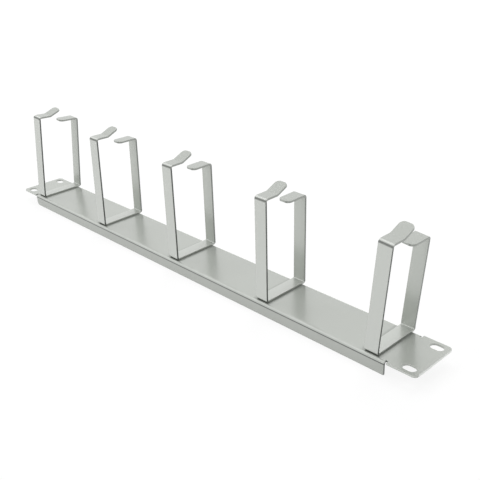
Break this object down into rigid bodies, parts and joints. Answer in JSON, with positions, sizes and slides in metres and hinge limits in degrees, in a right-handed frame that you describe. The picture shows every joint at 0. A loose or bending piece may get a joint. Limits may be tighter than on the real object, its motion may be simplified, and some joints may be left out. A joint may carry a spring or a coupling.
{
  "type": "horizontal cable manager",
  "caption": "Folded rack panel with a row of open bent-strip hoops that hold a horizontal run of cables; obround slots in both ears take the rack's screws.",
  "frame": {"origin": "centre of the four rack slots, on the rear face of the ears, which meets the rack", "axes": "+X along the panel, +Y across its height towards the fingers, +Z out of the rack along the hoops"},
  "size_m": [0.4826, 0.0497, 0.0993],
  "materials": {
    "powder_coat": "light grey powder coat, satin, over folded steel"
  },
  "bodies": {
    "root": {"panel": "powder_coat", "hoop_1": "powder_coat", "hoop_2": "powder_coat", "hoop_3": "powder_coat", "hoop_4": "powder_coat", "hoop_5": "powder_coat"}
  },
  "joints": []
}
